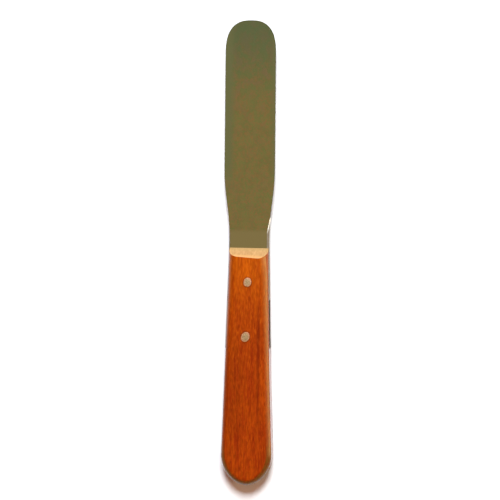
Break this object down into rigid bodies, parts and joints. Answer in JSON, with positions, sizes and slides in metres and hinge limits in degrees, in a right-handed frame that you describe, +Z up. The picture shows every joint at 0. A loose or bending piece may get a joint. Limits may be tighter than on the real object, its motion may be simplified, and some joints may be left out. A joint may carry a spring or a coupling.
{
  "type": "palette knife",
  "caption": "Flexible round-ended steel palette knife with a half tang riveted into a slotted hardwood handle that is bevelled at the front and rounded at the butt.",
  "frame": {"origin": "on the plane of the handle's flat underside, on the middle line, halfway along the knife's overall length", "axes": "+X across the width, +Y along the knife from butt to blade tip, +Z up through the thickness"},
  "size_m": [0.0226, 0.207, 0.0127],
  "materials": {
    "blade_steel": "satin-ground stainless steel, polished along its length, with fine scratches",
    "handle_wood": "orange-red hardwood with a thin satin oil finish, bare and paler on the bevelled front",
    "rivet_metal": "peened ends filed flush with the wood, dull grey in the middle and brighter at the rim"
  },
  "bodies": {
    "root": {"blade": "blade_steel", "handle": "handle_wood", "front_rivet": "rivet_metal", "rear_rivet": "rivet_metal"}
  },
  "joints": []
}
